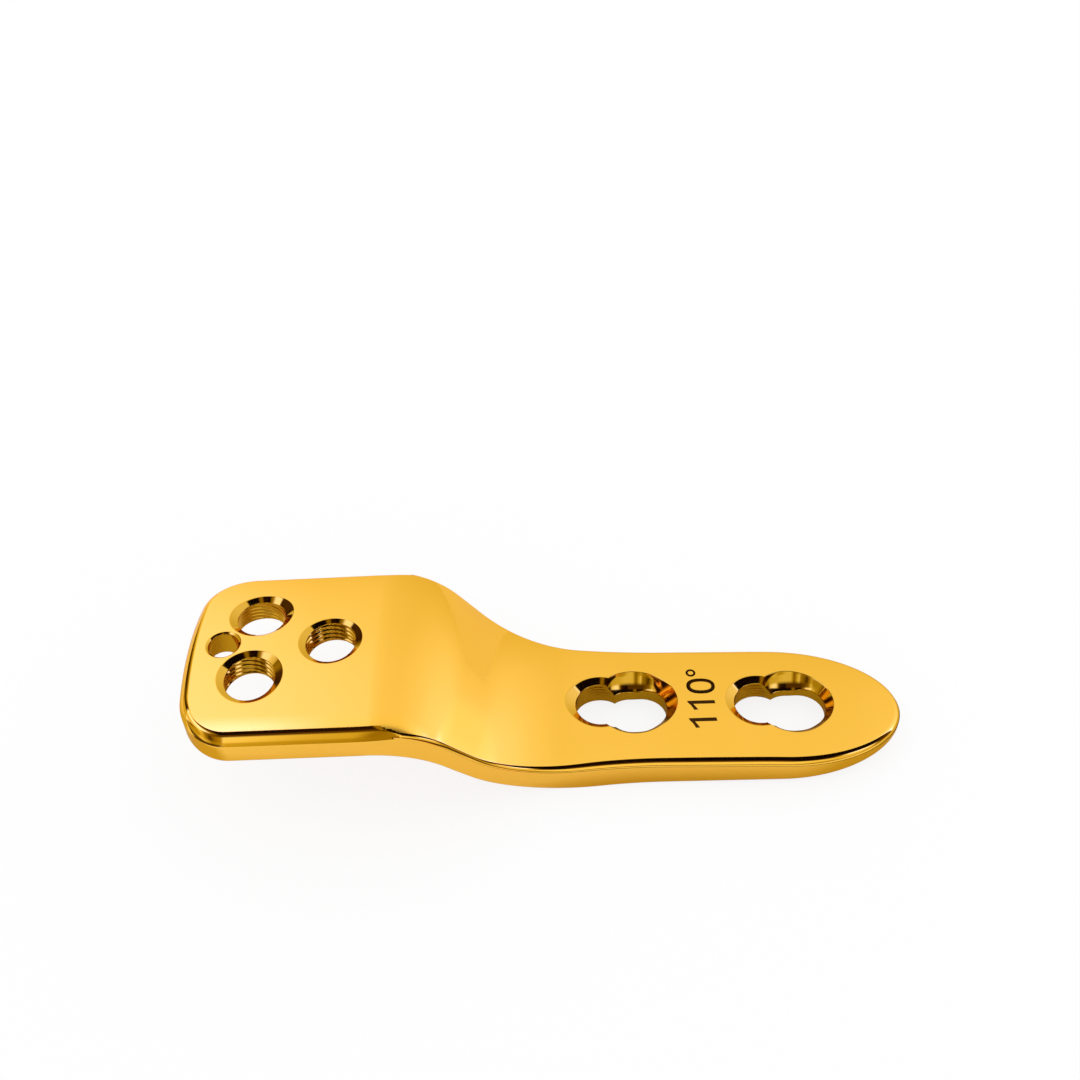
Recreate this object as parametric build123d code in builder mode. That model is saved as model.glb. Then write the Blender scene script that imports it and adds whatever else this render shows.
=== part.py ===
from build123d import *
from math import acos, atan2, cos, degrees, hypot, radians, sin, sqrt, tan
import os

# Pediatric hip locking plate: one plate milled from a titanium alloy and gold anodised.
# Lengths in millimetres, angles in degrees.
# The origin is on the axis of the lone locking hole, halfway through the head.
# X runs along the plate to the tip of the shaft and Z points away from the bone.

# Plan outline
plate_length = 61.75
head_end = -12.3
head_width = 18.36
head_end_radius = 65.0
head_corner_radius = 4.4
shoulder_start = 2.45
shoulder_radius = 52.0
taper_straight = 1.3
waist_radius = 70.0
shaft_width = 12.74
nose_length = 10.85

# Cross section: an arch that fits round the bone
crown_radius = 29.0
head_thickness = 2.45
shaft_thickness = 2.68

# Side view of the upper surface
head_slope = 2.8
step_height = 8.575
step_angle = 48.3
step_foot = 16.22
upper_bend_radius = 9.15
lower_bend_radius = 10.9
tip_fall_lead = 2.7
tip_fall_radius = 80.0

# Side view of the underside
under_step_angle = 45.45
under_step_foot = 16.9
under_upper_radius = 10.1
under_lower_radius = 13.65
shaft_taper = 1.4

# Upper edges: rounded all the way round, with a bevel on the head that runs out at the step
edge_round = 0.45
bevel_width = 0.75
bevel_depth = 0.93

# Two locking holes side by side in the head
pair_x = -6.37
pair_spacing = 6.8
pair_lean = 8.0
pair_radius = 2.10
pair_rim_radius = 2.79
pair_sink_depth = 0.45

# Lone locking hole in the middle of the head
lone_lean = 2.5
lone_radius = 2.12
lone_rim_radius = 2.72
lone_sink_depth = 0.36

# Wire hole between the pair and the head's end
wire_x = -9.12
wire_lean = 9.0
wire_radius = 1.27
wire_rim_radius = 1.50
wire_sink_depth = 0.20

# Two combination holes in the shaft, each a threaded half and a compression half in one
combi_x = 24.0
combi_pitch = 14.05
combi_count = 2
thread_offset = -1.10
thread_radius = 2.20
thread_rim_radius = 3.02
thread_sink_depth = 0.55
bowl_offset = 1.85
bowl_radius = 3.80
bowl_rise = 1.40
slot_offset = 1.60
slot_travel = 1.00
slot_radius = 2.20
ramp_rim_radius = 3.12
ramp_depth = 1.30

# Stock round the finished shape, and how far cuts run past it
stock_margin = 2.0
stock_depth = 5.2
over_cut = 6.0
sink_over = 1.0
sink_under = 0.25
bevel_block_gap = 0.3

half_head = head_width / 2
half_shaft = shaft_width / 2
half_stock = half_head + stock_margin
head_crown = head_thickness / 2
shaft_crown = head_crown - step_height
nose_start = head_end + plate_length - nose_length
tip_fall_start = nose_start - tip_fall_lead
start_x = head_end - stock_margin
end_x = head_end + plate_length + stock_margin


def rise(angle, run):
    """Height gained over a run at an angle."""
    return run * tan(radians(angle))


def arch_drop(radius, y):
    """Fall of an arch from its crown at a distance y from the middle."""
    return radius - sqrt(radius ** 2 - y ** 2)


def head_line(x):
    """Height of the head's crown line."""
    return head_crown + rise(head_slope, x)


def shaft_floor(x):
    """Height of the middle of the shaft's underside."""
    return shaft_crown - shaft_thickness + rise(shaft_taper, x - combi_x)


def step_brow(height, foot, angle):
    """Corner where the head's line, at a height over the origin, meets the step that ends at foot."""
    x = (foot[1] - height + rise(angle, foot[0])) / (rise(head_slope, 1) + rise(angle, 1))
    return (x, height + rise(head_slope, x))


# Crown line of the upper surface, from beyond the head to beyond the tip
upper_foot = (step_foot, shaft_crown)
fall_turn = degrees((end_x - tip_fall_start) / tip_fall_radius)
with BuildLine(Plane.XZ) as upper_path:
    upper_run = FilletPolyline(
        (start_x, head_line(start_x)),
        step_brow(head_crown, upper_foot, step_angle),
        upper_foot,
        (tip_fall_start, shaft_crown),
        radius=[upper_bend_radius, lower_bend_radius],
    )
    JernArc(start=upper_run @ 1, tangent=upper_run % 1, radius=tip_fall_radius, arc_size=-fall_turn)

# Middle line of the underside
under_drop = head_thickness / cos(radians(head_slope))
under_foot = (under_step_foot, shaft_floor(under_step_foot))
with BuildLine(Plane.XZ) as under_path:
    FilletPolyline(
        (start_x, head_line(start_x) - under_drop),
        step_brow(head_crown - under_drop, under_foot, under_step_angle),
        under_foot,
        (end_x, shaft_floor(end_x)),
        radius=[under_upper_radius, under_lower_radius],
    )


def across(path):
    """Plane across the start of a path, with its Y axis up."""
    return Plane(origin=path @ 0, x_dir=(0, 1, 0), z_dir=path % 0)


def arched_band(plane, radius, depth):
    """Band below an arch whose crown is at the plane's origin."""
    foot = -arch_drop(radius, half_stock)
    with BuildSketch(plane) as band:
        with BuildLine():
            ThreePointArc((-half_stock, foot), (0, 0), (half_stock, foot))
            Polyline(
                (half_stock, foot),
                (half_stock, foot - depth),
                (-half_stock, foot - depth),
                (-half_stock, foot),
            )
        make_face()
    return band.sketch


def plan_outline(plane, grow):
    """Plan outline of the plate moved outwards by grow."""
    end_radius = head_end_radius + grow
    corner_radius = head_corner_radius + grow
    corner_y = half_head - head_corner_radius
    reach = sqrt((end_radius - corner_radius) ** 2 - corner_y ** 2)
    corner_x = head_end - grow + end_radius - reach
    end_turn = atan2(corner_y, reach)
    corner_start = (corner_x - corner_radius * cos(end_turn), corner_y + corner_radius * sin(end_turn))
    bends = shoulder_radius + waist_radius
    turn = acos((bends - half_head + half_shaft) / hypot(bends, taper_straight))
    turn = degrees(turn - atan2(taper_straight, bends))
    with BuildSketch(plane) as outline:
        with BuildLine():
            JernArc(
                start=(head_end - grow, 0),
                tangent=(0, 1),
                radius=end_radius,
                arc_size=-degrees(end_turn),
            )
            corner = JernArc(
                start=corner_start,
                tangent=(sin(end_turn), cos(end_turn)),
                radius=corner_radius,
                arc_size=degrees(end_turn) - 90,
            )
            side = Line(corner @ 1, (shoulder_start, half_head + grow))
            shoulder = JernArc(
                start=side @ 1,
                tangent=(1, 0),
                radius=shoulder_radius + grow,
                arc_size=-turn,
            )
            slope = PolarLine(shoulder @ 1, taper_straight, direction=shoulder % 1)
            waist = JernArc(
                start=slope @ 1,
                tangent=slope % 1,
                radius=waist_radius - grow,
                arc_size=turn,
            )
            Line(waist @ 1, (nose_start, half_shaft + grow))
            EllipticalCenterArc(
                (nose_start, 0),
                nose_length + grow,
                half_shaft + grow,
                start_angle=0,
                arc_size=90,
            )
            Line((nose_start + nose_length + grow, 0), (head_end - grow, 0))
        make_face()
        mirror(about=Plane.XZ)
    return outline.sketch


def lies_up(face):
    """True for a face that looks mostly away from the bone."""
    return face.normal_at().Z > 0.3


# The head's upper surface carried on past the step, with the bevel on its edge.
# It stands a little proud of the plate, so the bevel is cut without touching other faces.
bevel_pitch = bevel_depth / bevel_width
block_edge = half_head + bevel_block_gap
bevel_foot = bevel_depth + bevel_block_gap * bevel_pitch
bevel_foot += arch_drop(crown_radius, half_head - bevel_width) - arch_drop(crown_radius, block_edge)
edge_fall = arch_drop(crown_radius, block_edge) - arch_drop(crown_radius, half_head - bevel_width)
fall_pitch = edge_fall / (block_edge - half_head + bevel_width)
bevel_reach = bevel_width + bevel_block_gap + bevel_block_gap / (bevel_pitch - fall_pitch)
block_rise = Vector(0, 0, bevel_block_gap)
with BuildPart() as bevel_block:
    with BuildLine(Plane.XZ) as block_path:
        Line((start_x, head_line(start_x)), (end_x, head_line(end_x)))
    block_plane = across(block_path.line).move(Location(block_rise))
    sweep(arched_band(block_plane, crown_radius, 2 * step_height), path=block_path.line)
    extrude(
        plan_outline(Plane.XY.offset(-2 * step_height), bevel_block_gap),
        amount=4 * step_height,
        mode=Mode.INTERSECT,
    )
    block_top = bevel_block.faces().filter_by(lies_up)
    chamfer(
        block_top.edges(),
        length=bevel_reach,
        length2=bevel_foot + bevel_block_gap,
        reference=block_top[0],
    )


# What the head loses to the bevel
with BuildPart() as bevel_waste:
    with Locations(((start_x + step_foot) / 2, 0, 0)):
        Box(step_foot - start_x, 2 * half_stock, 2 * stock_depth)
    add(bevel_block.part, mode=Mode.SUBTRACT)


def hole_cutter(radius, rim_radius, sink_depth, rim, normal, lean):
    """Cutter for a leaning hole: a cone square to the surface at the rim and a bore leaning to the head."""
    flare = (rim_radius - radius) / sink_depth
    sink_height = sink_over + sink_depth + sink_under
    bore_axis = Vector(sin(radians(lean)), 0, cos(radians(lean)))
    bore_plane = Plane(origin=rim, z_dir=bore_axis)
    sink_plane = Plane(origin=rim, z_dir=normal)
    with BuildPart() as cutter:
        with BuildSketch(bore_plane):
            Circle(radius)
        extrude(amount=over_cut, both=True)
        with Locations(sink_plane.offset(sink_over - sink_height / 2)):
            Cone(radius - flare * sink_under, rim_radius + flare * sink_over, sink_height)
    return cutter.part


def surface_normal(path_angle, y):
    """Direction away from the arched upper surface, y from the middle, where the crown line has this angle."""
    across_tilt = y / crown_radius
    up = sqrt(1 - across_tilt ** 2)
    return Vector(-sin(radians(path_angle)) * up, across_tilt, cos(radians(path_angle)) * up)


def head_point(x, y):
    """Point on the head's upper surface."""
    return Vector(x, y, head_line(x) - arch_drop(crown_radius, y) / cos(radians(head_slope)))


def locking_hole(x, y, lean, radius, rim_radius, sink_depth):
    """Cutter for a locking hole in the head."""
    return hole_cutter(radius, rim_radius, sink_depth, head_point(x, y), surface_normal(head_slope, y), lean)


# Combination hole, cut down from the shaft's crown: its origin is where the two halves meet
bowl_centre = (bowl_offset, 0, bowl_rise)
slot_end = slot_offset + slot_travel
with BuildPart() as combi_cutter:
    with BuildSketch(Plane.XY):
        with Locations((thread_offset, 0)):
            Circle(thread_radius)
        with Locations((slot_offset + slot_travel / 2, 0)):
            SlotCenterToCenter(slot_travel, 2 * slot_radius)
    extrude(amount=over_cut, both=True)
    thread_flare = (thread_rim_radius - thread_radius) / thread_sink_depth
    with Locations((thread_offset, 0, (sink_over - thread_sink_depth) / 2)):
        Cone(thread_radius, thread_rim_radius + thread_flare * sink_over, thread_sink_depth + sink_over)
    ramp_flare = (ramp_rim_radius - slot_radius) / ramp_depth
    with Locations((slot_end, 0, (sink_over - ramp_depth) / 2)):
        Cone(slot_radius, ramp_rim_radius + ramp_flare * sink_over, ramp_depth + sink_over)
    with Locations(bowl_centre):
        Sphere(bowl_radius)

# What lies below the underside
with BuildPart() as under_waste:
    sweep(
        arched_band(across(under_path.line), crown_radius - head_thickness, stock_depth),
        path=under_path.line,
    )

with BuildPart() as plate:
    sweep(arched_band(across(upper_path.line), crown_radius, stock_depth), path=upper_path.line)
    add(under_waste.part, mode=Mode.SUBTRACT)
    extrude(
        plan_outline(Plane.XY.offset(-2 * step_height), 0),
        amount=4 * step_height,
        mode=Mode.INTERSECT,
    )
    upper_edges = plate.faces().filter_by(lies_up).edges()
    fillet([edge for edge in upper_edges if upper_edges.count(edge) == 1], radius=edge_round)
    add(bevel_waste.part, mode=Mode.SUBTRACT)
    for side in (-1, 1):
        pair_y = side * pair_spacing / 2
        add(
            locking_hole(pair_x, pair_y, pair_lean, pair_radius, pair_rim_radius, pair_sink_depth),
            mode=Mode.SUBTRACT,
        )
    lone_x = rise(lone_lean, head_crown)
    add(
        locking_hole(lone_x, 0, lone_lean, lone_radius, lone_rim_radius, lone_sink_depth),
        mode=Mode.SUBTRACT,
    )
    add(
        locking_hole(wire_x, 0, wire_lean, wire_radius, wire_rim_radius, wire_sink_depth),
        mode=Mode.SUBTRACT,
    )
    for number in range(combi_count):
        with Locations((combi_x + number * combi_pitch, 0, shaft_crown)):
            add(combi_cutter.part, mode=Mode.SUBTRACT)

os.makedirs("parts", exist_ok=True)
plate.part.label = "plate"
export_step(plate.part, "parts/plate.step")
print("volume", round(plate.part.volume, 2), "valid", plate.part.is_valid)
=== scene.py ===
import math
import bpy
import numpy as np
from mathutils import Matrix, Vector
from mathutils.geometry import delaunay_2d_cdt


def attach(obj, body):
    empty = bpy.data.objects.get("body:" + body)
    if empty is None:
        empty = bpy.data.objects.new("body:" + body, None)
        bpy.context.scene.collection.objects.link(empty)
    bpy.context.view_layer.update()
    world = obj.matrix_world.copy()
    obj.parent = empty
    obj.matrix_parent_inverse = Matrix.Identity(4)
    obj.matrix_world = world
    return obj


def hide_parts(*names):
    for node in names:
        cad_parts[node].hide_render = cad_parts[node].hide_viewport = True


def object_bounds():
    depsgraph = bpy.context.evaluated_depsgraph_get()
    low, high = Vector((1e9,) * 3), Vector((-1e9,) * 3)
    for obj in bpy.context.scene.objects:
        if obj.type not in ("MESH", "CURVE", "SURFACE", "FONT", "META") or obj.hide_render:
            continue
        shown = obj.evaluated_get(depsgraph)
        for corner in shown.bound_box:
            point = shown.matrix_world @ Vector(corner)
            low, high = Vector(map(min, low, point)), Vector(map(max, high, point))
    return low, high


# The looks of the bone plate: a body with fine edges and threads in place of the node plate, and its mark.
# Its surfaces are worked out here in closed form, from the sizes of the solid.
# Lengths are in millimetres up to Mesh.build, which makes metres of them. Floor and camera are in metres.

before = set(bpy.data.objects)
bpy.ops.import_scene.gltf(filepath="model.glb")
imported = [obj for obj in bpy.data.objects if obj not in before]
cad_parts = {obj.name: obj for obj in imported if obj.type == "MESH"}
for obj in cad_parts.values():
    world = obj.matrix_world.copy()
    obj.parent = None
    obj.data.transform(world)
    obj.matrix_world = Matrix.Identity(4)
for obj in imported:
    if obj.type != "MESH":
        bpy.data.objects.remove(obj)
cad_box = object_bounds()

# The plate's own sizes, as in the solid

HEAD_END, HALF_HEAD, END_R, CORNER_R = -12.3, 9.18, 65.0, 4.4
SHOULDER_X, SHOULDER_R, TAPER, WAIST_R = 2.45, 52.0, 1.3, 70.0
HALF_SHAFT, NOSE_X, NOSE_L = 6.37, 38.6, 10.85
CROWN_R, HEAD_T, SHAFT_T = 29.0, 2.45, 2.68
UNDER_R = CROWN_R - HEAD_T
SLOPE = math.radians(2.8)
STEP_H, STEP_A, STEP_FOOT = 8.575, math.radians(48.3), 16.22
UNDER_A, UNDER_FOOT, SHAFT_A = math.radians(45.45), 16.9, math.radians(1.4)
HEAD_Z = HEAD_T / 2
SHAFT_Z = HEAD_Z - STEP_H
COMBI_X = (24.0, 38.05)
BEVEL_W, BEVEL_D = 0.75, 0.69
TOP_BENDS, LOW_BENDS = (9.15, 10.9), (10.1, 13.65)
TIP_FALL = (35.9, 80.0)


def unit(v):
    """Vectors of length one."""
    return v / np.maximum(np.linalg.norm(v, axis=-1, keepdims=True), 1e-12)


def stack(*parts):
    """Components side by side as vectors."""
    return np.stack(np.broadcast_arrays(*parts), -1).astype(float)


def turned(a, b, t):
    """Directions turned from a towards b, evenly, by the share t."""
    w = np.arccos(np.clip((a * b).sum(-1, keepdims=True), -1, 1))
    s = np.maximum(np.sin(w), 1e-6)
    even = (np.sin((1 - t) * w) * a + np.sin(t * w) * b) / s
    return unit(np.where(w < 1e-4, a * (1 - t) + b * t, even))


# Upper surface and underside in closed form


def crown(corners, angles, radii, fall=None):
    """A line of straights and bends in side view: its pieces, and where each begins."""
    pieces, joints = [("line", corners[0], angles[0])], []
    for i, r in enumerate(radii):
        sign = 1 if angles[i + 1] < angles[i] else -1
        reach = r * math.tan(abs(angles[i + 1] - angles[i]) / 2)
        corner = np.array(corners[i + 1])
        before = corner - reach * np.array((math.cos(angles[i]), math.sin(angles[i])))
        after = corner + reach * np.array((math.cos(angles[i + 1]), math.sin(angles[i + 1])))
        centre = before + sign * r * np.array((math.sin(angles[i]), -math.cos(angles[i])))
        pieces += [("bend", centre, r, sign), ("line", after, angles[i + 1])]
        joints += [(before[0], angles[i]), (after[0], angles[i + 1])]
    if fall:
        pieces.append(("bend", (fall[0], corners[-1][1] - fall[1]), fall[1], 1))
        joints.append((fall[0], angles[-1]))
    return pieces, joints


def level(line, x, drop):
    """Height and slope at x of such a line moved down square to itself by drop."""
    pieces, joints = line
    x, drop = np.broadcast_arrays(np.asarray(x, float), np.asarray(drop, float))
    starts = [np.full(x.shape, -1e9)] + [jx + math.sin(ja) * drop for jx, ja in joints]
    ends = starts[1:] + [np.full(x.shape, 1e9)]
    z, a = np.zeros(x.shape), np.zeros(x.shape)
    for piece, lo, hi in zip(pieces, starts, ends):
        on = (x >= lo) & (x < hi)
        if piece[0] == "line":
            here = piece[1][1] + math.tan(piece[2]) * (x - piece[1][0]) - drop / math.cos(piece[2])
            tilt = np.full(x.shape, piece[2])
        else:
            _, centre, r, sign = piece
            rr, dx = r - sign * drop, x - centre[0]
            here = centre[1] + sign * np.sqrt(np.maximum(rr ** 2 - dx ** 2, 0))
            tilt = np.arcsin(np.clip(-sign * dx / rr, -1, 1))
        z, a = np.where(on, here, z), np.where(on, tilt, a)
    return z, a


def brow(height, foot, angle):
    """Where the head's line meets the step."""
    x = (foot[1] - height + math.tan(angle) * foot[0]) / (math.tan(SLOPE) + math.tan(angle))
    return (x, height + math.tan(SLOPE) * x)


def floor_z(x):
    """Height of the underside's middle line below the shaft."""
    return SHAFT_Z - SHAFT_T + math.tan(SHAFT_A) * (x - COMBI_X[0])


TOP_FOOT = (STEP_FOOT, SHAFT_Z)
TOP_BROW = brow(HEAD_Z, TOP_FOOT, STEP_A)
TOP_LINE = crown([TOP_BROW, TOP_BROW, TOP_FOOT], [SLOPE, -STEP_A, 0.0], TOP_BENDS, fall=TIP_FALL)
LOW_FOOT = (UNDER_FOOT, floor_z(UNDER_FOOT))
LOW_BROW = brow(HEAD_Z - HEAD_T / math.cos(SLOPE), LOW_FOOT, UNDER_A)
LOW_LINE = crown([LOW_BROW, LOW_BROW, LOW_FOOT], [SLOPE, -UNDER_A, SHAFT_A], LOW_BENDS)


def arched(line, radius, x, y):
    """Height and upward normal of a surface that is arched across the plate."""
    y = np.asarray(y, float)
    z, a = level(line, x, radius - np.sqrt(radius ** 2 - y ** 2))
    s = y / radius
    c = np.sqrt(1 - s ** 2)
    return z, stack(-np.sin(a) * c, s, np.cos(a) * c)


def upper(x, y):
    """Height and outward normal of the upper surface."""
    return arched(TOP_LINE, CROWN_R, x, y)


def under(x, y):
    """Height and outward normal of the underside."""
    z, n = arched(LOW_LINE, UNDER_R, x, y)
    return z, -n


def head_z(x, y):
    """The head's upper surface carried straight on."""
    return HEAD_Z + math.tan(SLOPE) * x - (CROWN_R - np.sqrt(CROWN_R ** 2 - y ** 2)) / math.cos(SLOPE)


def on(surface, xy):
    """Points and normals of a surface above places in plan."""
    z, n = surface(xy[..., 0], xy[..., 1])
    return np.concatenate([xy, z[..., None]], -1), n


# Outline in plan

CORNER_FINE, NOSE_FINE = 0.6, 0.75
NOSE_ARC = 14


def outline(step):
    """Places about a step apart round the plan from the head's end, with their outward directions."""
    corner_y = HALF_HEAD - CORNER_R
    reach = math.sqrt((END_R - CORNER_R) ** 2 - corner_y ** 2)
    end = math.atan2(corner_y, reach)
    centre_x = HEAD_END + END_R
    corner_x = centre_x - reach
    bends = SHOULDER_R + WAIST_R
    turn = math.acos((bends - HALF_HEAD + HALF_SHAFT) / math.hypot(bends, TAPER)) - math.atan2(TAPER, bends)
    places, sides = [], []

    def arc(cx, cy, r, a, b, fine=1.0, inward=False):
        n = max(2, round(abs(b - a) * r / (step * fine)))
        t = np.linspace(a, b, n + 1)[:-1]
        d = stack(np.cos(t), np.sin(t))
        places.append(np.array((cx, cy)) + r * d)
        sides.append(-d if inward else d)

    def line(p, q, side):
        n = max(2, round(math.dist(p, q) / step))
        t = np.linspace(0, 1, n + 1)[:-1, None]
        places.append(np.array(p) * (1 - t) + np.array(q) * t)
        sides.append(np.tile(side, (n, 1)))

    arc(centre_x, 0, END_R, math.pi, math.pi - end)
    arc(corner_x, corner_y, CORNER_R, math.pi - end, math.pi / 2, CORNER_FINE)
    line((corner_x, HALF_HEAD), (SHOULDER_X, HALF_HEAD), (0.0, 1.0))
    arc(SHOULDER_X, HALF_HEAD - SHOULDER_R, SHOULDER_R, math.pi / 2, math.pi / 2 - turn)
    a = (SHOULDER_X + SHOULDER_R * math.sin(turn), HALF_HEAD - SHOULDER_R * (1 - math.cos(turn)))
    b = (a[0] + TAPER * math.cos(turn), a[1] - TAPER * math.sin(turn))
    line(a, b, (math.sin(turn), math.cos(turn)))
    c = (b[0] + WAIST_R * math.sin(turn), b[1] + WAIST_R * math.cos(turn))
    arc(*c, WAIST_R, -math.pi / 2 - turn, -math.pi / 2, inward=True)
    line((c[0], HALF_SHAFT), (NOSE_X, HALF_SHAFT), (0.0, 1.0))
    t = np.linspace(math.pi / 2, 0, round(NOSE_ARC / step / NOSE_FINE) + 1)
    places.append(stack(NOSE_X + NOSE_L * np.cos(t), HALF_SHAFT * np.sin(t)))
    sides.append(unit(stack(np.cos(t) / NOSE_L, np.sin(t) / HALF_SHAFT)))
    p, s = np.concatenate(places), unit(np.concatenate(sides))
    flip = np.array((1.0, -1.0))
    return np.concatenate([p, (p * flip)[-2:0:-1]]), np.concatenate([s, (s * flip)[-2:0:-1]])


# Mesh made of patches, each with its own normals


class Mesh:
    """Patches in millimetres. Within is 1 on a point deep in a hole and 0 outside, for the material's painted
    shade in the holes.
    """

    def __init__(self):
        self.points, self.normals, self.within, self.faces, self.count = [], [], [], [], 0

    def add(self, points, normals, faces, within=0.0):
        """Adds faces as index rows of three or four, turned so that they face along their normals."""
        self.within.append(np.broadcast_to(within, points.shape[:-1]).ravel())
        points, normals = points.reshape(-1, 3), unit(normals.reshape(-1, 3))
        faces = np.asarray(faces)
        p = points[faces]
        if faces.shape[1] == 4:
            way = np.cross(p[:, 2] - p[:, 0], p[:, 3] - p[:, 1])
        else:
            way = np.cross(p[:, 1] - p[:, 0], p[:, 2] - p[:, 0])
        back = (way * normals[faces].sum(1)).sum(-1) < 0
        faces = np.where(back[:, None], faces[:, ::-1], faces)
        self.points.append(points)
        self.normals.append(normals)
        self.faces.append(faces + self.count)
        self.count += len(points)

    def grid(self, points, normals, closed=True, within=0.0):
        """Adds rows of points, joined to each other, in a ring if closed. Within may be given by row."""
        rows, cols = points.shape[:2]
        i = np.arange(rows * cols).reshape(rows, cols)
        j = np.roll(i, -1, 1) if closed else i[:, 1:]
        i = i if closed else i[:, :-1]
        quads = np.stack([i[:-1], j[:-1], j[1:], i[1:]], -1).reshape(-1, 4)
        if np.ndim(within):
            within = np.broadcast_to(within, (cols, rows)).T
        self.add(points, normals, quads, within)

    def build(self, name, material):
        """Makes the object, in metres, with equal points joined and the patches' normals kept."""
        points, normals = np.concatenate(self.points), np.concatenate(self.normals)
        _, first, same = np.unique(np.round(points, 4), axis=0, return_index=True, return_inverse=True)
        same = same.ravel()
        loops, starts, own, at = [], [], [], 0
        for faces in self.faces:
            for f in faces:
                g = same[f]
                keep = [k for k in range(len(f)) if g[k] != g[k - 1]]
                if len(keep) < 3:
                    continue
                starts.append(at)
                at += len(keep)
                loops.extend(g[keep])
                own.extend(f[keep])
        mesh = bpy.data.meshes.new(name)
        mesh.vertices.add(len(first))
        mesh.vertices.foreach_set("co", (points[first] * 0.001).astype(np.float32).ravel())
        mesh.loops.add(len(loops))
        mesh.loops.foreach_set("vertex_index", np.array(loops, np.int32))
        mesh.polygons.add(len(starts))
        mesh.polygons.foreach_set("loop_start", np.array(starts, np.int32))
        mesh.update(calc_edges=True)
        mesh.polygons.foreach_set("use_smooth", [True] * len(starts))
        mesh.normals_split_custom_set(normals[own].tolist())
        # The within share goes to the material, which paints shade into the holes with it.
        kept = mesh.attributes.new("within", "FLOAT", "POINT")
        kept.data.foreach_set("value", np.concatenate(self.within)[first].astype(np.float32))
        mesh.validate()
        mesh.materials.append(material)
        thing = bpy.data.objects.new(name, mesh)
        bpy.context.scene.collection.objects.link(thing)
        return thing


def corner(a, k, b, na, nb, steps=3):
    """Rows that round a corner k, from a on one face to b on the other."""
    t = np.linspace(0, 1, steps + 1)[:, None, None]
    points = (1 - t) ** 2 * a + 2 * t * (1 - t) * k + t ** 2 * b
    return points, np.stack([turned(na, nb, s) for s in t[:, 0, 0]])


def grid_normals(points, inward, closed=True):
    """Normals of a fine grid, on the side that inward points to."""
    if closed:
        across = np.roll(points, -1, 1) - np.roll(points, 1, 1)
    else:
        across = np.gradient(points, axis=1)
    n = unit(np.cross(across, np.gradient(points, axis=0)))
    way = np.sign((n * inward).sum(-1, keepdims=True))
    return n * np.where(way == 0, 1, way)


plate = Mesh()

# Edge band: bevel or rounding above, wall, fine rounding below

PLACE, SIDE = outline(0.26)
SIDE3 = stack(SIDE[:, 0], SIDE[:, 1], np.zeros(len(SIDE)))
UP = np.array((0.0, 0.0, 1.0))
INSET_TOP, INSET_LOW = 1.35, 0.9
EDGE_X = (-20, 4, 10, 15, 19, 23, 32, 40, 46, 50)
EDGE_R = (0.45, 0.45, 0.5, 0.56, 0.64, 0.74, 0.82, 0.82, 0.78, 0.7)
BEVEL_BOW, BEVEL_BLEND = 0.13, 0.05
CREASE, LOW_EDGE = 0.19, 0.11


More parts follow.
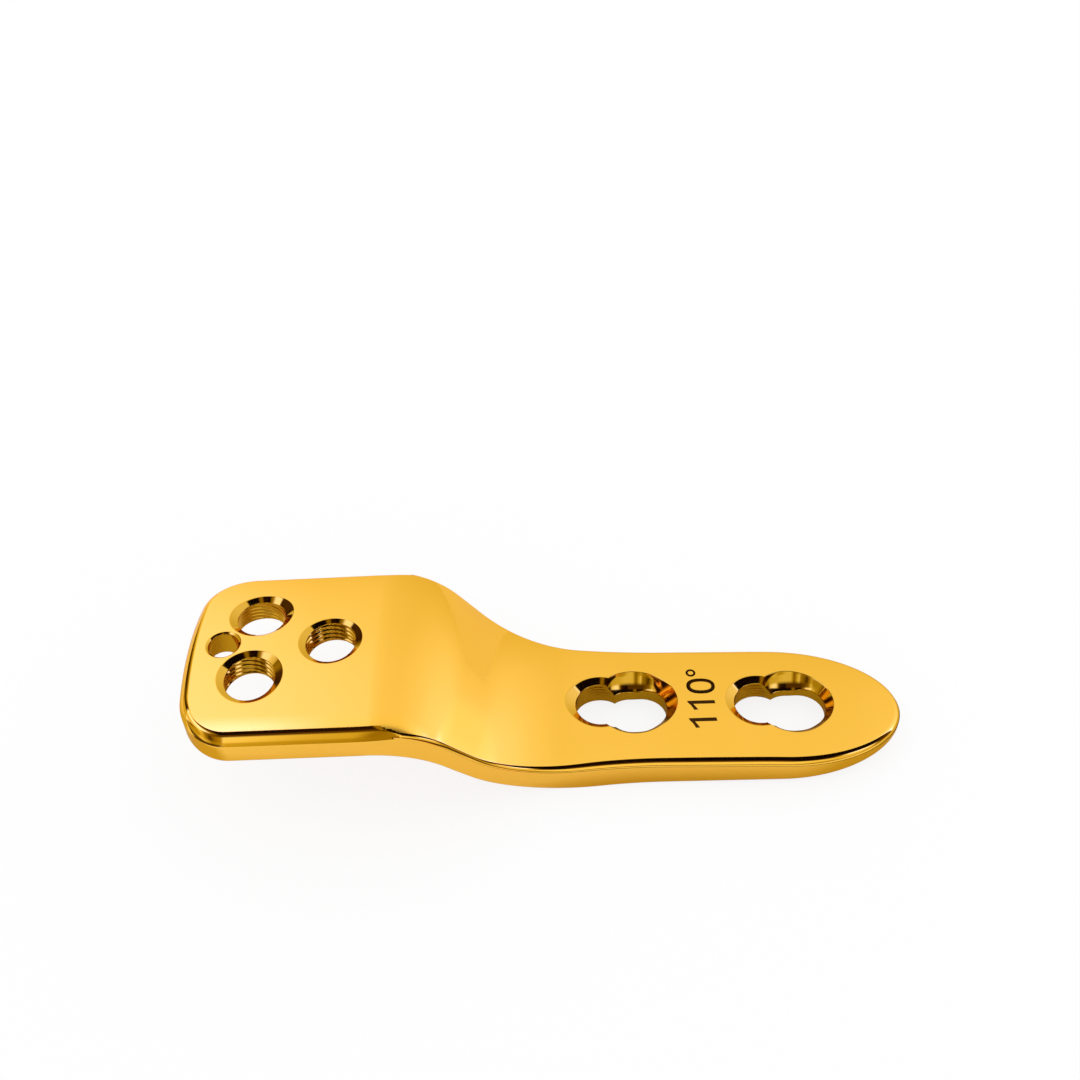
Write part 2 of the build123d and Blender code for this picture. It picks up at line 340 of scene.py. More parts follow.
def edge_band():
    """Adds the band and gives its inner outlines, above and below. Its rounding is wider along the shaft."""
    radius = np.interp(PLACE[:, 0], EDGE_X, EDGE_R)[:, None]
    centre_xy = PLACE - radius * SIDE
    touch = centre_xy
    for _ in range(12):
        top, top_n = on(upper, touch)
        touch = centre_xy + radius * top_n[:, :2]
    top, top_n = on(upper, touch)
    centre = top - radius * top_n
    centre[:, :2] = centre_xy
    rows, normals = [], []
    inner = PLACE - INSET_TOP * SIDE
    for t in np.linspace(1, 0, 9)[:-1]:
        t = t ** 1.4
        p, n = on(upper, touch * (1 - t) + inner * t)
        rows.append(p)
        normals.append(n)
    for t in np.linspace(0, 1, 13):
        d = turned(top_n, SIDE3, t)
        rows.append(centre + radius * d)
        normals.append(d)
    rows, normals = np.stack(rows), np.stack(normals)
    inset = ((PLACE - rows[..., :2]) * SIDE).sum(-1)
    # the bevel: a slightly crowned face that runs straight on from the head
    foot = head_z(*PLACE.T) - BEVEL_D
    rim = PLACE - BEVEL_W * SIDE
    rise = head_z(*rim.T) - foot
    share = inset / BEVEL_W
    bevel = foot + rise * share + 4 * BEVEL_BOW * share * np.maximum(1 - share, 0)
    steep = (rise + 4 * BEVEL_BOW * np.where(share < 1, 1 - 2 * share, 0)) / BEVEL_W
    along = unit(np.roll(PLACE, -1, 0) - np.roll(PLACE, 1, 0))
    gap = np.linalg.norm(np.roll(PLACE, -1, 0) - np.roll(PLACE, 1, 0), axis=-1)
    lift = (np.roll(foot, -1) - np.roll(foot, 1)) / gap
    flat = steep[..., None] * SIDE - lift[:, None] * along
    bevel_n = unit(np.concatenate([flat, np.ones(inset.shape + (1,))], -1))
    # the lower of the two, with a soft change from one to the other
    h = np.clip(0.5 + 0.5 * (bevel - rows[..., 2]) / BEVEL_BLEND, 0, 1)
    h = np.where(inset > INSET_TOP - 0.02, 1.0, h)
    rows[..., 2] = bevel * (1 - h) + rows[..., 2] * h - BEVEL_BLEND * h * (1 - h)
    h = h[..., None]
    normals = unit(h * normals + (1 - h) * np.maximum(normals[..., 2:], 1e-3) * bevel_n / bevel_n[..., 2:])
    # crease between the band and the wall
    edge, edge_n = rows[-1], normals[-1]
    slope = stack(-edge_n[:, 2] * SIDE[:, 0], -edge_n[:, 2] * SIDE[:, 1], (edge_n * SIDE3).sum(-1))
    crease, crease_n = corner(edge + CREASE * unit(slope), edge, edge - CREASE * UP, edge_n, SIDE3)
    # wall, and the fine rounding at its foot
    low = on(under, PLACE)[0]
    foot_in, foot_n = on(under, PLACE - LOW_EDGE * SIDE)
    lip, lip_n = corner(low + LOW_EDGE * UP, low, foot_in, SIDE3, foot_n)
    wall = [crease[-1] * (1 - t) + lip[0] * t for t in (0.33, 0.67)]
    ends = [on(under, PLACE - q * SIDE) for q in (0.5, INSET_LOW)]
    points = np.concatenate([rows[:-1], crease, wall, lip, [p for p, _ in ends]])
    all_n = np.concatenate([normals[:-1], crease_n, [SIDE3, SIDE3], lip_n, [n for _, n in ends]])
    plate.grid(points, all_n)
    return rows[0][:, :2], ends[-1][0][:, :2]


top_edge, low_edge = edge_band()
top_holes, low_holes = [], []


# Leaning round holes in the head

RIM_LIP, SINK_EDGE, LOW_LIP = 0.06, 0.05, 0.08
THREAD_FADE, TAPER_L = 0.12, 1.2
# Share of painted shade on the countersinks; the bores take the full share
SINK_SHADE_PAINTED = 0.8
LONE_LEAN = 2.5
ROUND_HOLES = (
    dict(x=-6.37, y=3.4, lean=8.0, bore=2.04, rim_r=2.79, sink=0.52, columns=168, rows=56,
         pitch=0.42, depth=0.05, crest=0.25),
    dict(x=-6.37, y=-3.4, lean=8.0, bore=2.10, rim_r=2.79, sink=0.40, columns=168, rows=60,
         pitch=0.50, depth=0.19, taper=0.04),
    dict(x=math.tan(math.radians(LONE_LEAN)) * HEAD_Z, y=0.0, lean=LONE_LEAN, bore=2.12, rim_r=2.72,
         sink=0.34, columns=168, rows=60, pitch=0.50, depth=0.19, taper=0.04),
    dict(x=-9.12, y=0.0, lean=9.0, bore=1.27, rim_r=1.50, sink=0.20, columns=96, rows=8),
)


def solve_down(f, lo, hi):
    """Where f crosses zero between lo and hi, for each column."""
    lo, hi = lo.copy(), hi.copy()
    low_sign = np.sign(f(lo))
    for _ in range(40):
        mid = (lo + hi) / 2
        same = np.sign(f(mid)) == low_sign
        lo, hi = np.where(same, mid, lo), np.where(same, hi, mid)
    return (lo + hi) / 2


def thread(turns_at, depth, crest):
    """Depth of a thread's groove: a flat crest, then even flanks."""
    p = np.abs(((turns_at % 1.0) * 2) - 1)
    return depth * np.clip((1 - p - crest) / (1 - crest), 0, 1)


def round_hole(x, y, lean, bore, rim_r, sink, columns, rows, pitch=0.0, depth=0.0, crest=0.2, taper=0.0):
    """A hole whose top leans towards the shaft: its countersink and its bore, threaded if it has a pitch."""
    lean = math.radians(lean)
    origin = np.array((x, y, float(head_z(x, y))))
    square = upper(x, y)[1]
    flare = (rim_r - bore) / sink
    axis = np.array((math.sin(lean), 0, math.cos(lean)))
    u = np.array((math.cos(lean), 0, -math.sin(lean)))
    v = np.array((0.0, 1.0, 0.0))
    angle = np.linspace(0, 2 * math.pi, columns, endpoint=False)
    out = np.cos(angle)[:, None] * u + np.sin(angle)[:, None] * v

    def on_bore(h, r=bore):
        return origin + h[..., None] * axis + np.asarray(r)[..., None] * out

    def cone_gap(h):
        q = on_bore(h) - origin
        t = q @ square
        return np.linalg.norm(q - t[:, None] * square, axis=-1) - rim_r - flare * t

    ones = np.ones(columns)
    join_h = solve_down(cone_gap, -2.0 * ones, 0.6 * ones)
    join = on_bore(join_h)
    q = join - origin
    t_join = q @ square
    ray = unit(q - t_join[:, None] * square)

    def on_cone(t):
        return origin + t[:, None] * square + (rim_r + flare * t)[:, None] * ray

    def rim_gap(t):
        p = on_cone(t)
        return p[:, 2] - upper(p[:, 0], p[:, 1])[0]

    def low_gap(h):
        p = on_bore(h)
        return p[:, 2] - under(p[:, 0], p[:, 1])[0]

    rim_t = solve_down(rim_gap, -0.5 * ones, 0.3 * ones)
    rim = on_cone(rim_t)
    slant = math.hypot(1, flare)
    outer, outer_n = on(upper, rim[:, :2] + RIM_LIP * unit(ray[:, :2]))
    cone_n = unit(square * flare - ray)
    first = on_cone(rim_t - RIM_LIP / slant)
    lip, lip_n = corner(outer, rim, first, outer_n, cone_n)
    # countersink, then the corner to the bore
    last = on_cone(t_join + SINK_EDGE / slant)
    cone = np.stack([first * (1 - t) + last * t for t in np.linspace(0, 1, 6)[1:-1]])
    inward = -out
    bend, bend_n = corner(last, join, on_bore(join_h - SINK_EDGE), cone_n, inward)
    # bore with its thread
    exit_h = solve_down(low_gap, -6.0 * ones, join_h - 0.3)
    t = np.linspace(0, 1, rows)[:, None]
    h = (join_h - SINK_EDGE) * (1 - t) + (exit_h + LOW_LIP) * t
    fade = np.clip((join_h - SINK_EDGE - h) / THREAD_FADE, 0, 1)
    fade = fade * np.clip((h - exit_h - LOW_LIP) / THREAD_FADE, 0, 1)
    groove = thread(h / pitch - angle / (2 * math.pi), depth, crest) * fade if pitch else 0 * h
    groove = groove + taper * np.clip(1 - (join_h - h) / TAPER_L, 0, 1) * fade
    wall = on_bore(h, bore + groove)
    wall_n = grid_normals(wall, inward)
    wall_n[0], wall_n[-1] = inward, inward
    leave = on_bore(exit_h)
    low, low_n = on(under, leave[:, :2] + LOW_LIP * unit(out[:, :2]))
    foot, foot_n = corner(wall[-1], leave, low, inward, low_n)
    # Painted shade in the hole: none at the top surface, a lighter share on the countersink, the full share
    # down the bore.
    within = np.concatenate([np.linspace(0, SINK_SHADE_PAINTED, len(lip)), np.full(len(cone), SINK_SHADE_PAINTED),
                             np.linspace(SINK_SHADE_PAINTED, 1, len(bend)), np.ones(len(wall) - 2 + len(foot))])
    plate.grid(np.concatenate([lip, cone, bend, wall[1:-1], foot]),
               np.concatenate([lip_n, [cone_n] * len(cone), bend_n, wall_n[1:-1], foot_n]), within=within)
    top_holes.append(outer[:, :2])
    low_holes.append(low[:, :2])


for hole in ROUND_HOLES:
    round_hole(**hole)

# Combination holes: a threaded half and a compression half that meet at two cusps

T_X, T_R, T_RIM, T_SINK = -1.10, 2.20, 3.02, 0.55
BOWL_X, BOWL_R, BOWL_Z = 1.85, 3.80, 1.40
SLOT_A, SLOT_B, SLOT_R = 1.60, 2.60, 2.20
RAMP_RIM, RAMP_D = 3.12, 1.30
COMBI_PITCH, COMBI_DEPTH, COMBI_CREST, COMBI_TOP = 0.36, 0.045, 0.3, 0.62
COMBI_MIDDLE, COMBI_LIP = 0.9, 0.06
LEFT_N, RIGHT_N = 110, 150
RIM_ROWS, LOW_ROWS = 13, 41
# Share of painted shade on a combination hole's lips and on the threaded half's countersink
COMBI_SHADE_PAINTED = 0.7


def thread_radius(z):
    """Radius of the threaded half and its countersink at a height under the shaft's top."""
    return T_R + (T_RIM - T_R) / T_SINK * np.maximum(0, z + T_SINK)


def reach_to(dx, r, a):
    """Distance from the bowl's centre along angle a to a circle dx further on."""
    return dx * np.cos(a) + np.sqrt(np.maximum(r ** 2 - (dx * np.sin(a)) ** 2, 0))


def soft_max(a, b, k):
    """The larger of two, rounded where they meet."""
    h = np.clip(0.5 + 0.5 * (a - b) / k, 0, 1)
    return b * (1 - h) + a * h + k * h * (1 - h)


def bowl_reach(z, a):
    """Radius of the compression half at a height and an angle."""
    slot = np.maximum(reach_to(SLOT_A - BOWL_X, SLOT_R, a), reach_to(SLOT_B - BOWL_X, SLOT_R, a))
    side = SLOT_R / np.maximum(np.abs(np.sin(a)), 1e-6)
    within = (side * np.cos(a) > SLOT_A - BOWL_X) & (side * np.cos(a) < SLOT_B - BOWL_X)
    slot = np.where(within, np.maximum(slot, side), slot)
    bowl = np.sqrt(np.maximum(BOWL_R ** 2 - (BOWL_Z - z) ** 2, 0))
    ramp_r = SLOT_R + (RAMP_RIM - SLOT_R) / RAMP_D * np.maximum(0, z + RAMP_D)
    ramp = reach_to(SLOT_B - BOWL_X, ramp_r, a)
    return soft_max(soft_max(bowl, slot, 0.03), ramp, 0.05)


CUSP_Z = np.linspace(-4.2, 0.4, 600)


def cusp_table():
    """Where the two halves meet at each height, as an angle in the right half and one in the left."""
    def f(a):
        r = bowl_reach(CUSP_Z, a)
        return np.hypot(BOWL_X + r * np.cos(a) - T_X, r * np.sin(a)) - thread_radius(CUSP_Z)

    a = solve_down(f, np.full(len(CUSP_Z), 1.2), np.full(len(CUSP_Z), math.pi))
    r = bowl_reach(CUSP_Z, a)
    x, y = BOWL_X + r * np.cos(a), r * np.sin(a)
    return a, np.arctan2(y, x - T_X)


CUSP_RIGHT, CUSP_LEFT = cusp_table()


def combi_hole(cx):
    """A combination hole whose middle is near cx, with its threaded half towards the head."""
    def left(z, f):
        cusp = np.interp(z, CUSP_Z, CUSP_LEFT)
        a = cusp + f * (2 * math.pi - 2 * cusp)
        r = thread_radius(z)
        grooves = thread(z / COMBI_PITCH - a / (2 * math.pi), COMBI_DEPTH, COMBI_CREST)
        grooves = grooves * np.clip((-COMBI_TOP - z) / 0.1, 0, 1)
        r = r + grooves * np.clip(f * 14, 0, 1) * np.clip((1 - f) * 14, 0, 1)
        return stack(T_X + r * np.cos(a), r * np.sin(a))

    def right(z, f):
        cusp = np.interp(z, CUSP_Z, CUSP_RIGHT)
        a = cusp * (2 * f - 1)
        r = bowl_reach(z, a)
        return stack(BOWL_X + r * np.cos(a), r * np.sin(a))

    def meet(shape, surface, f, z):
        """Heights at which a half meets a surface."""
        for _ in range(14):
            xy = shape(z, f)
            z = surface(xy[:, 0] + cx, xy[:, 1])[0] - SHAFT_Z
        return z

    sides = []
    for shape, n in ((left, LEFT_N), (right, RIGHT_N)):
        f = np.linspace(0, 1, n + 1)
        rim_z = meet(shape, upper, f, np.full(n + 1, -0.05))
        exit_z = meet(shape, under, f, np.full(n + 1, -2.6))
        sides.append((shape, f, rim_z, exit_z))
    first = np.arange(LEFT_N + 1)
    second = np.append(np.arange(LEFT_N, LEFT_N + RIGHT_N), 0)

    def lips(which, surface):
        """The hole's outline on a surface, and the same outline moved out into the metal."""
        lines = [shape(s[which], f) for shape, f, *s in sides]
        loop = np.concatenate([lines[0][:-1], lines[1][:-1]])
        before, after = unit(loop - np.roll(loop, 1, 0)), unit(np.roll(loop, -1, 0) - loop)
        side = unit(unit(stack(before[:, 1], -before[:, 0])) + unit(stack(after[:, 1], -after[:, 0])))
        middle = loop - np.array((COMBI_MIDDLE, 0.0))
        side = np.where(((side * unit(middle)).sum(-1, keepdims=True) < 0), -side, side)
        near = np.minimum(np.linalg.norm(loop - lines[0][0], axis=-1),
                          np.linalg.norm(loop - lines[0][-1], axis=-1))
        size = np.minimum(COMBI_LIP, 0.02 + 0.4 * near)
        cusp = near < 1e-6
        side[cusp] = np.sign(loop[cusp] * np.array((0.0, 1.0))) + 0.0
        moved = loop + size[:, None] * side
        moved[:, 0] += cx
        return on(surface, moved)

    top, top_n = lips(0, upper)
    low, low_n = lips(1, under)
    for (shape, f, rim_z, exit_z), idx in zip(sides, (first, second)):
        ledge = np.minimum(-T_SINK, rim_z - 0.2)
        start, stop = rim_z - COMBI_LIP, exit_z + COMBI_LIP
        levels = [start + (ledge - start) * t for t in np.linspace(0, 1, RIM_ROWS)]
        levels += [ledge + (stop - ledge) * t for t in np.linspace(0, 1, LOW_ROWS + 1)[1:]]
        z = np.stack(levels)
        xy = shape(z, np.broadcast_to(f, z.shape))
        wall = stack(xy[..., 0] + cx, xy[..., 1], z + SHAFT_Z)
        middle = np.array((T_X if shape is left else BOWL_X, 0.0))
        inward = np.concatenate([middle - xy, np.full(z.shape + (1,), 0.05)], -1)
        wall_n = grid_normals(wall, inward, closed=False)
        xy = shape(rim_z, f)
        rim = stack(xy[:, 0] + cx, xy[:, 1], rim_z + SHAFT_Z)
        xy = shape(exit_z, f)
        leave = stack(xy[:, 0] + cx, xy[:, 1], exit_z + SHAFT_Z)
        lip, lip_n = corner(top[idx], rim, wall[0], top_n[idx], wall_n[0], 2)
        foot, foot_n = corner(wall[-1], leave, low[idx], wall_n[-1], low_n[idx], 2)
        # Painted shade in the hole: the lip, and on the threaded half its countersink, take a lighter share,
        # the rest of the wall the full share, the outermost row none.
        within = np.ones(len(lip) + len(wall) - 2 + len(foot))
        within[:len(lip) + (RIM_ROWS - 2 if shape is left else 0)] = COMBI_SHADE_PAINTED
        within[0] = 0
        plate.grid(np.concatenate([lip, wall[1:-1], foot]),
                   np.concatenate([lip_n, wall_n[1:-1], foot_n]), closed=False, within=within)
    top_holes.append(top[:, :2])
    low_holes.append(low[:, :2])


for combi in COMBI_X:
    combi_hole(combi)

# The degree number, 110 and its sign: read across the plate, cut a hair deep


ONE = ((30.53, -0.03), (32.96, 0.04), (33.03, -0.33), (31.08, -0.37),
       (31.48, -0.98), (31.12, -1.02), (30.87, -0.53), (30.62, -0.24))
MARK_DEPTH = 0.03


def one(y, shift):
    """Outline of a figure one, y across the plate."""
    return np.array([(px + shift, py + y) for px, py in ONE])


def oval(cx, cy, rx, ry, n, power=2.0):
    """An oval, squarer for a higher power."""
    a = np.linspace(0, 2 * math.pi, n, endpoint=False)
    c, s = np.cos(a), np.sin(a)
    x = rx * np.sign(c) * np.abs(c) ** (2 / power)
    y = ry * np.sign(s) * np.abs(s) ** (2 / power)
    return stack(cx + x, cy + y)


MARK = [
    one(-1.96, 0.0), one(-0.1, -0.02),
    oval(31.85, 1.585, 1.27, 0.9, 44, 2.35), oval(31.87, 1.585, 0.93, 0.515, 36, 2.35),
    oval(31.08, 3.19, 0.45, 0.47, 28), oval(31.08, 3.19, 0.245, 0.23, 22),
]

# The two large faces, triangulated in plan


def inside(points, loop):
    """Which points lie in a closed loop."""
    a, b = loop, np.roll(loop, -1, 0)
    x, y = points[:, 0][:, None], points[:, 1][:, None]
    cross = (a[:, 1] > y) != (b[:, 1] > y)
    dy = np.where(b[:, 1] == a[:, 1], 1e-12, b[:, 1] - a[:, 1])
    hit = x < (b[:, 0] - a[:, 0]) * (y - a[:, 1]) / dy + a[:, 0]
    return (cross & hit).sum(1) % 2 == 1


def face(edge, holes, marks, spacing):
    """Triangles over the area inside edge and outside the holes: the plain ones and those in the marks."""
    loops = [edge] + holes + marks
    points, edges, start = np.concatenate(loops), [], 0
    for loop in loops:
        n = len(loop)
        edges += [(start + i, start + (i + 1) % n) for i in range(n)]
        start += n
    xs = np.arange(edge[:, 0].min(), edge[:, 0].max(), spacing)
    ys = np.arange(edge[:, 1].min(), edge[:, 1].max(), spacing * 0.866)
    gx, gy = np.meshgrid(xs, ys)
    gx = gx + (np.arange(len(ys)) % 2)[:, None] * spacing / 2
    fill = stack(gx.ravel(), gy.ravel())
    keep = inside(fill, edge)
    for hole in holes:
        keep &= ~inside(fill, hole)
    fill = fill[keep]
    near = np.full(len(fill), 1e9)
    for i in range(0, len(points), 200):
        d = np.linalg.norm(fill[:, None] - points[None, i:i + 200], axis=-1).min(1)
        near = np.minimum(near, d)
    fill = fill[near > spacing * 0.45]
    every = np.concatenate([points, fill])
    made = delaunay_2d_cdt([Vector(p) for p in every], edges, [], 0, 1e-7, True)
    places = np.array([every[ids[0]] if ids else tuple(v) for v, ids in zip(made[0], made[3])])
    tris = np.array(made[2])
    middle = places[tris].mean(1)
    keep = inside(middle, edge)
    for hole in holes:
        keep &= ~inside(middle, hole)
    marked = np.zeros(len(tris), int)
    for loop in marks:
        marked += inside(middle, loop)
    return places, tris[keep & (marked % 2 == 0)], tris[keep & (marked % 2 == 1)]


TOP_SPACING, LOW_SPACING = 0.55, 0.6
places, plain, marked = face(top_edge, top_holes, MARK, TOP_SPACING)
top_points, top_normals = on(upper, places)
plate.add(top_points, top_normals, plain)

mark = Mesh()
mark.add(top_points - MARK_DEPTH * top_normals, top_normals, marked)
for loop in MARK:
    p, n = on(upper, loop)
    after = np.roll(loop, -1, 0) - np.roll(loop, 1, 0)
    side = unit(stack(after[:, 1], -after[:, 0], 0 * after[:, 0]))
    mark.grid(np.stack([p, p - MARK_DEPTH * n]), np.stack([side, side]))

places, plain, _ = face(low_edge, low_holes, [], LOW_SPACING)
low_points, low_normals = on(under, places)
plate.add(low_points, low_normals, plain)

# Materials


def shader(name):
    """A material, its tree and its shader."""
    material = bpy.data.materials.new(name)
    material.use_nodes = True
    return material, material.node_tree, material.node_tree.nodes["Principled BSDF"]


def noise(tree, scale, detail, roughness=0.5):
    """Noise fixed to the object."""
    place = tree.nodes.new("ShaderNodeTexCoord")
    made = tree.nodes.new("ShaderNodeTexNoise")
    made.inputs["Scale"].default_value = scale
    made.inputs["Detail"].default_value = detail
    made.inputs["Roughness"].default_value = roughness
    tree.links.new(place.outputs["Object"], made.inputs["Vector"])
    return made.outputs["Fac"]


def spread(tree, value, low, high, to_low, to_high):
    """A value's range from low to high made to one from to_low to to_high, and held there."""
    made = tree.nodes.new("ShaderNodeMapRange")
    made.inputs["From Min"].default_value = low
    made.inputs["From Max"].default_value = high
    made.inputs["To Min"].default_value = to_low
    made.inputs["To Max"].default_value = to_high
    tree.links.new(value, made.inputs["Value"])
    return made.outputs["Result"]


def reckon(tree, operation, a, b):
    """Two values put together by an operation."""
    made = tree.nodes.new("ShaderNodeMath")
    made.operation = operation
    tree.links.new(a, made.inputs[0])
    tree.links.new(b, made.inputs[1])
    return made.outputs[0]


def blend(tree, share, low, high, kind="MIX"):
    """High laid over low by a share. The share is a link or a number, and the others are links or colours."""
    made = tree.nodes.new("ShaderNodeMix")
    made.data_type, made.blend_type = "RGBA", kind
    for socket, given in ((0, share), (6, low), (7, high)):
        if isinstance(given, bpy.types.NodeSocket):
            tree.links.new(given, made.inputs[socket])
        else:
            made.inputs[socket].default_value = (*given, 1) if socket else given
    return made.outputs[2]


def shades(tree, value, stops, toned=True):
    """Levels along a value, given as stops. Dim ones come out warmer and bright ones whiter if toned."""
    ramp = tree.nodes.new("ShaderNodeValToRGB")
    colours = [(0.98 * g ** 0.79, g, 1.2 * g ** 3.3, 1) if toned else (g, g, g, 1) for _, g in stops]
    first, last = ramp.color_ramp.elements
    first.position, last.position = stops[0][0], stops[-1][0]
    first.color, last.color = colours[0], colours[-1]
    for (at, _), colour in zip(stops[1:-1], colours[1:-1]):
        ramp.color_ramp.elements.new(at).color = colour
    tree.links.new(value, ramp.inputs[0])
    return ramp.outputs[0]


WHITE = (1.0, 1.0, 1.0)

gold, tree, bsdf = shader("gold_anodised")
bsdf.inputs["Metallic"].default_value = 1.0
bsdf.inputs["Specular Tint"].default_value = (0.97, 0.78, 0.54, 1)
cloud = spread(tree, noise(tree, 90.0, 2.0), 0.35, 0.65, 0.0, 1.0)
bright = blend(tree, cloud, (0.945, 0.495, 0.034), (0.965, 0.505, 0.038))
# Painted shade in the holes: the gold is darkened towards a warm brown by the mesh's within share.
within = tree.nodes.new("ShaderNodeAttribute")
within.attribute_name = "within"
hole_shade_painted = blend(tree, within.outputs["Fac"], WHITE, (0.7, 0.7, 0.5))
tree.links.new(blend(tree, 1.0, bright, hole_shade_painted, "MULTIPLY"), bsdf.inputs["Base Color"])
grain = spread(tree, noise(tree, 5200.0, 3.0, 0.6), 0.3, 0.7, 0.05, 0.09)
tree.links.new(grain, bsdf.inputs["Roughness"])

ink, tree, bsdf = shader("degree_mark")
bsdf.inputs["Metallic"].default_value = 1.0
bsdf.inputs["Roughness"].default_value = 0.6
bsdf.inputs["Specular Tint"].default_value = (0.3, 0.18, 0.1, 1)
burnt = blend(tree, noise(tree, 4000.0, 2.0), (0.05, 0.018, 0.002), (0.09, 0.034, 0.004))
tree.links.new(burnt, bsdf.inputs["Base Color"])

body = plate.build("plate_finished", gold)
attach(body, "root")
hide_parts("plate")
number = mark.build("degree_number", ink)
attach(number, "root")

# Floor, light and camera

# Painted light and shade on the floor, seen only in the plate's reflections: levels from 80 mm in front of the
# plate's middle to 40 mm behind it, dark far in front, bright near it, a painted shadow under the plate and
# bright behind it. The head stands higher than the shaft and mirrors floor further out, so under it the levels
# lie further towards the camera.
FLOOR_FROM, FLOOR_TO = -0.08, 0.04
HEAD_SHIFT, SHIFT_FROM, SHIFT_TO = 0.0073, -0.004, -0.0185
FLOOR = ((0.0, 0.05), (0.42, 0.05), (0.465, 1.1), (0.597, 1.2), (0.612, 0.75), (0.77, 0.75), (0.83, 1.1),
         (1.0, 1.12))
FLOOR_SIZE, FLOOR_GAP = 6.0, 0.00002
CAMERA_SEES = (0.16, 0.16, 0.16)
CAMERA_GLOW = 0.85

bpy.ops.mesh.primitive_plane_add(size=FLOOR_SIZE, location=(0.02, 0.0, cad_box[0].z - FLOOR_GAP))
ground = bpy.context.object
ground.name = "floor"
pale, tree, bsdf = shader("pale_floor")
bsdf.inputs["Roughness"].default_value = 0.8
bsdf.inputs["Specular IOR Level"].default_value = 0.1
bsdf.inputs["Emission Color"].default_value = (*WHITE, 1)
paper_and_painted_shade = blend(tree, noise(tree, 3.0, 2.0), (0.89, 0.89, 0.89), (0.91, 0.91, 0.91))
rays = tree.nodes.new("ShaderNodeLightPath")
ground_at = tree.nodes.new("ShaderNodeTexCoord")
ground_xyz = tree.nodes.new("ShaderNodeSeparateXYZ")
tree.links.new(ground_at.outputs["Object"], ground_xyz.inputs[0])
shift = spread(tree, ground_xyz.outputs["X"], SHIFT_FROM, SHIFT_TO, 0.0, HEAD_SHIFT)
depth_at = spread(tree, reckon(tree, "ADD", ground_xyz.outputs["Y"], shift), FLOOR_FROM, FLOOR_TO, 0.0, 1.0)
# Glossy rays see the painted levels: shade and light painted on the floor for the plate to mirror.
paper_and_painted_shade = blend(tree, rays.outputs["Is Glossy Ray"], paper_and_painted_shade, shades(tree, depth_at, FLOOR))
paper_and_painted_shade = blend(tree, rays.outputs["Is Camera Ray"], paper_and_painted_shade, CAMERA_SEES)
tree.links.new(paper_and_painted_shade, bsdf.inputs["Base Color"])
glow = spread(tree, rays.outputs["Is Camera Ray"], 0.0, 1.0, 0.0, CAMERA_GLOW)
tree.links.new(glow, bsdf.inputs["Emission Strength"])
ground.data.materials.append(pale)

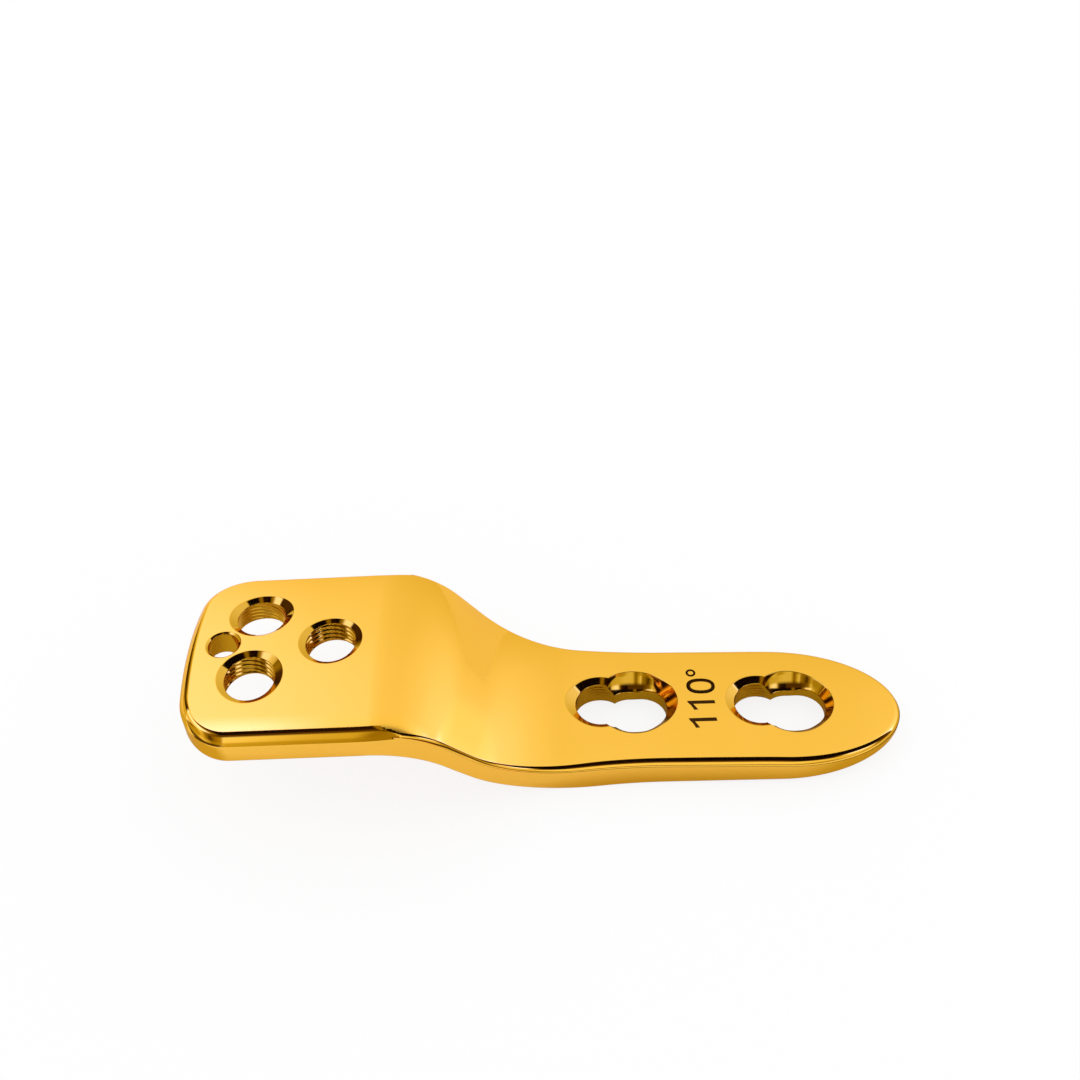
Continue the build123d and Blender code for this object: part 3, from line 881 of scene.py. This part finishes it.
# The studio that the plate mirrors, as levels of light by direction, where 1 is the plain level.
# "over" runs over the plate, from the horizon behind it through the zenith at 0.5 to the horizon on the
# camera's side at 1, and "side" from left to right. The sky is OVER_SKY times SIDE_SKY, and each layer is laid
# over what is before it: its share by place along one of the two, then its levels by place along one of them.
OVER_SKY = ((0.0, 0.85), (0.05, 0.89), (0.08, 0.91), (0.14, 0.96), (0.24, 1.01), (0.32, 1.04),
            (0.46, 1.07), (1.0, 1.07))
SIDE_SKY = ((0.0, 1.5), (0.3, 1.5), (0.34, 1.38), (0.38, 1.2), (0.42, 1.1), (0.5, 1.03), (0.62, 1.01),
            (0.68, 1.03), (0.74, 1.07), (0.8, 1.12), (0.86, 1.2), (0.92, 1.27), (1.0, 1.38))
LAYERS = (
    # dark edge beyond the head's end
    ("side", ((0.295, 1.0), (0.315, 0.0)), "side", (
        (0.0, 0.7), (0.03, 0.7), (0.045, 0.4), (0.06, 0.05), (0.13, 0.02), (0.15, 0.12), (0.18, 0.45),
        (0.21, 0.85), (0.26, 1.2), (0.3, 1.45), (1.0, 1.45))),
    # bright strip overhead
    ("over", ((0.445, 0.0), (0.472, 1.0)), "side", (
        (0.0, 0.7), (0.08, 0.8), (0.11, 1.8), (0.165, 1.8), (0.2, 0.9), (0.28, 1.2), (0.32, 2.1),
        (0.345, 2.0), (0.37, 1.35), (0.42, 1.17), (0.5, 1.1), (0.68, 1.1), (0.74, 1.2), (0.8, 1.35),
        (0.86, 1.6), (0.9, 2.2), (1.0, 2.4))),
    # dark field above the camera
    ("over", ((0.477, 0.0), (0.489, 1.0)), "side", (
        (0.0, 1.5), (0.03, 0.7), (0.09, 1.4), (0.12, 1.9), (0.19, 1.9), (0.23, 0.4), (0.26, 0.25),
        (0.29, 0.001), (0.42, 0.01), (0.44, 0.25), (0.49, 0.25), (0.51, 0.02), (0.53, 0.001),
        (0.9, 0.001), (0.93, 0.03), (0.96, 0.1), (1.0, 0.1))),
    # its lower part, open on the right
    ("over", ((0.72, 0.0), (0.74, 1.0)), "side", (
        (0.0, 0.4), (0.02, 0.05), (0.05, 0.4), (0.085, 0.7), (0.1, 1.2), (0.12, 0.9), (0.15, 0.3),
        (0.2, 0.15), (0.3, 0.06), (0.6, 0.06), (0.66, 0.001), (0.77, 0.02), (0.8, 0.4), (0.835, 1.8),
        (0.88, 2.0), (0.93, 1.5), (0.96, 0.05), (1.0, 0.02))),
    # pale field under it
    ("over", ((0.79, 0.0), (0.84, 1.0)), "side", (
        (0.0, 0.5), (0.08, 0.5), (0.1, 0.8), (0.14, 0.3), (0.18, 0.03), (0.24, 0.25), (0.3, 0.4),
        (0.335, 1.3), (0.355, 1.1), (0.365, 0.95), (0.38, 0.72), (0.4, 0.65), (0.42, 0.25), (0.45, 0.3),
        (0.48, 0.6), (0.515, 1.1), (0.67, 1.15), (0.75, 1.05), (0.81, 0.92), (0.93, 0.85), (0.96, 0.3),
        (1.0, 0.3))),
    # horizon behind the camera
    ("over", ((0.93, 0.0), (0.955, 1.0)), "side", (
        (0.0, 0.5), (0.06, 0.6), (0.085, 0.95), (0.11, 0.9), (0.2, 0.3), (0.3, 0.45), (0.335, 0.75),
        (0.36, 0.6), (0.4, 0.42), (0.43, 0.3), (0.46, 0.3), (0.5, 0.9), (0.53, 1.15), (0.6, 1.1),
        (0.66, 0.9), (0.7, 0.65), (0.77, 0.6), (0.83, 1.0), (0.88, 1.0), (0.93, 0.6), (1.0, 0.6))),
    # right side, beyond the nose
    ("side", ((0.94, 0.0), (0.965, 1.0)), "over", (
        (0.0, 1.3), (0.14, 1.34), (0.2, 1.4), (0.34, 1.5), (0.36, 1.6), (0.39, 1.9), (0.44, 2.2),
        (0.485, 2.5), (0.5, 0.5), (0.55, 0.05), (0.8, 0.02), (0.85, 0.4), (1.0, 0.5))),
)
ROOM = (0.9, 0.9, 0.9)

world = bpy.data.worlds.new("studio")
bpy.context.scene.world = world
world.use_nodes = True
tree = world.node_tree
background = tree.nodes["Background"]
direction = tree.nodes.new("ShaderNodeTexCoord")
split = tree.nodes.new("ShaderNodeSeparateXYZ")
tree.links.new(direction.outputs["Generated"], split.inputs[0])
turn = reckon(tree, "ARCTAN2", split.outputs["Z"], split.outputs["Y"])
ways = {"over": spread(tree, turn, 0.0, math.pi, 0.0, 1.0),
        "side": spread(tree, split.outputs["X"], -1.0, 1.0, 0.0, 1.0)}
sky_over = shades(tree, ways["over"], OVER_SKY)
sky_side = shades(tree, ways["side"], SIDE_SKY)
seen = blend(tree, 1.0, sky_over, sky_side, "MULTIPLY")
for share_way, share, level_way, levels in LAYERS:
    mask = shades(tree, ways[share_way], share, toned=False)
    seen = blend(tree, mask, seen, shades(tree, ways[level_way], levels))
rays = tree.nodes.new("ShaderNodeLightPath")
seen = blend(tree, rays.outputs["Is Glossy Ray"], ROOM, seen)
seen = blend(tree, rays.outputs["Is Camera Ray"], seen, WHITE)
tree.links.new(seen, background.inputs["Color"])

# The camera stands where the photograph's did. Its tip down, swing aside and roll are in degrees.
LENS, SENSOR, PHOTO_SIZE = 44.577, 36.0, 1080
CAMERA_AT = (0.020151, -0.073919, 0.086288)
CAMERA_TIP, CAMERA_SWING, CAMERA_ROLL = 44.85, 1.639, -1.841

camera = bpy.data.objects.new("camera", bpy.data.cameras.new("camera"))
bpy.context.scene.collection.objects.link(camera)
camera.data.lens = LENS
camera.data.sensor_width = SENSOR
camera.data.clip_start, camera.data.clip_end = 0.005, 20.0
tip, swing, roll = map(math.radians, (CAMERA_TIP, CAMERA_SWING, CAMERA_ROLL))
back = Vector((math.sin(swing) * math.cos(tip), -math.cos(swing) * math.cos(tip), math.sin(tip)))
right = (-back).cross(Vector((0, 0, 1))).normalized()
up = right.cross(-back)
across = math.cos(roll) * right + math.sin(roll) * up
above = -math.sin(roll) * right + math.cos(roll) * up
axes = Matrix((across, above, back)).transposed().to_4x4()
camera.data.shift_x, camera.data.shift_y = -0.5 / PHOTO_SIZE, 0.5 / PHOTO_SIZE
camera.matrix_world = Matrix.Translation(CAMERA_AT) @ axes
bpy.context.scene.camera = camera
bpy.context.scene.view_settings.view_transform = "Standard"
